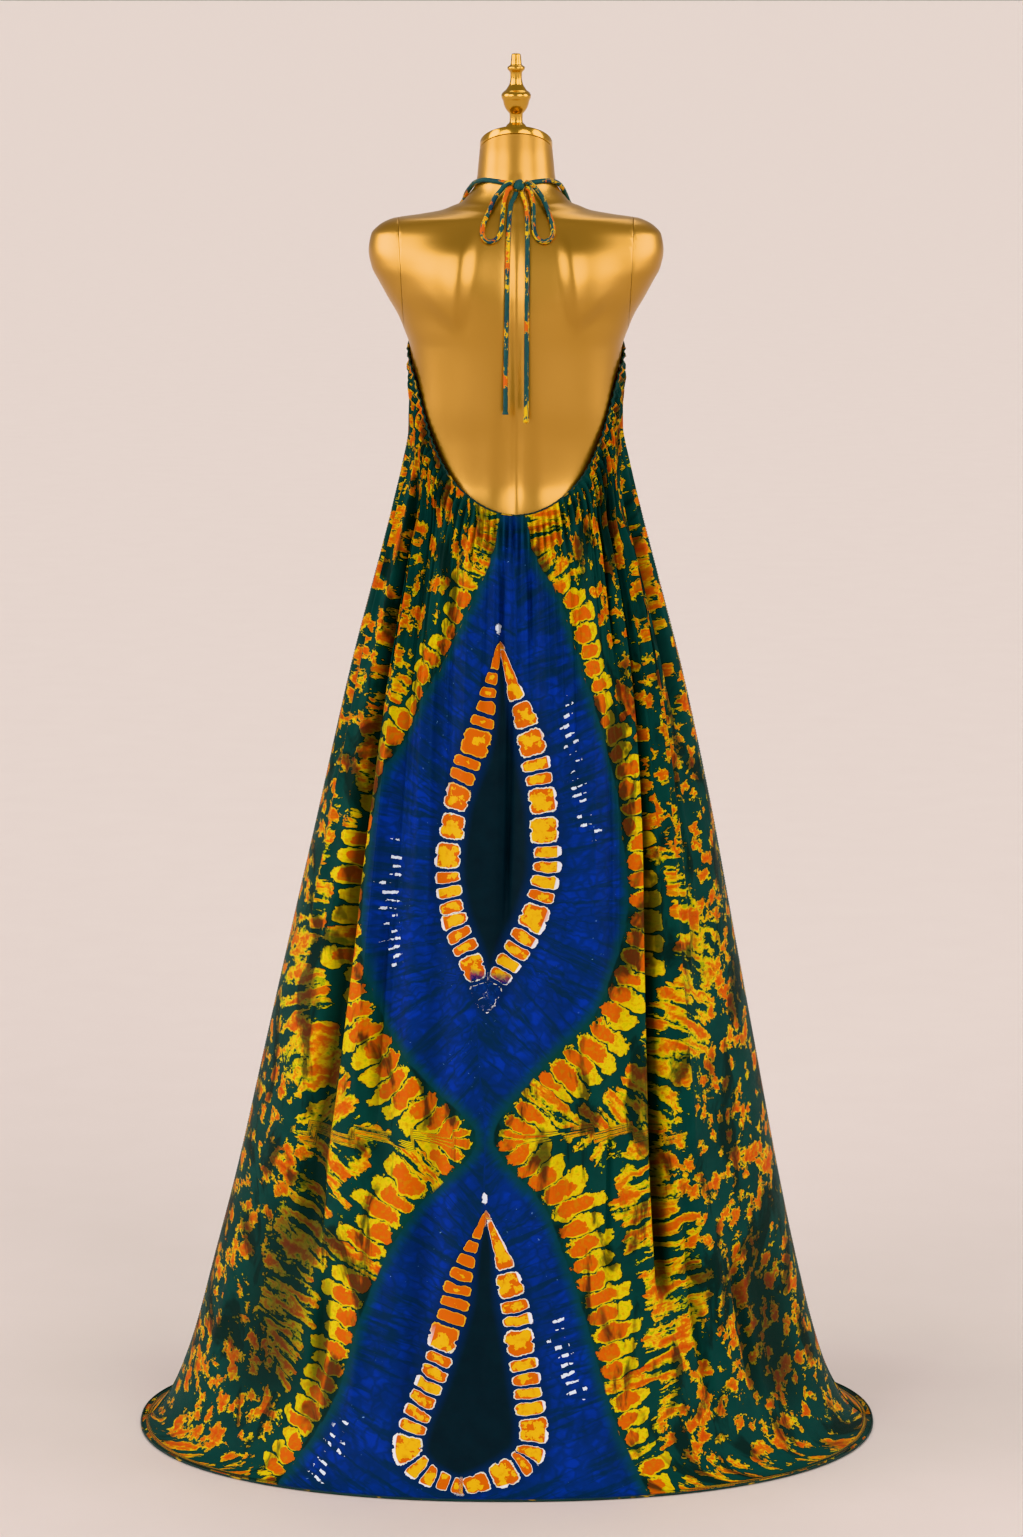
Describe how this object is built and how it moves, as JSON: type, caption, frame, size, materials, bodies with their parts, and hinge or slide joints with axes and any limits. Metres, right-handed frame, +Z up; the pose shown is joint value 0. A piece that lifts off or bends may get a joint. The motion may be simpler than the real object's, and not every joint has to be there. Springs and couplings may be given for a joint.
{
  "type": "halter-neck maxi dress on a limbless dress form",
  "caption": "Open-backed halter maxi dress, gathered at the neck and back, tied on a gold limbless dress form with a finial and a stand.",
  "frame": {"origin": "on the floor, at the centre of the stand's base", "axes": "+Z up; the open back faces -Y, the front +Y, and +X is right as seen from behind"},
  "size_m": [0.9868, 0.687, 1.818],
  "materials": {
    "dyed_cloth": "soft dyed viscose, low sheen",
    "dyed_cord": "narrow tube of the same cloth",
    "gold_satin": "satin gold lacquer",
    "polished_brass": "polished"
  },
  "bodies": {
    "root": {"back_panel": "dyed_cloth", "front_panel": "dyed_cloth", "neck_casing": "dyed_cloth", "neck_cord": "dyed_cord", "bow_knot": "dyed_cord", "bow_loop_left": "dyed_cord", "bow_loop_right": "dyed_cord", "tie_tail_left": "dyed_cord", "tie_tail_right": "dyed_cord", "form_torso": "gold_satin", "shoulder_cap_left": "gold_satin", "shoulder_cap_right": "gold_satin", "neck_cap": "polished_brass", "finial": "polished_brass", "stand_pole": "gold_satin", "stand_base": "gold_satin"}
  },
  "joints": []
}
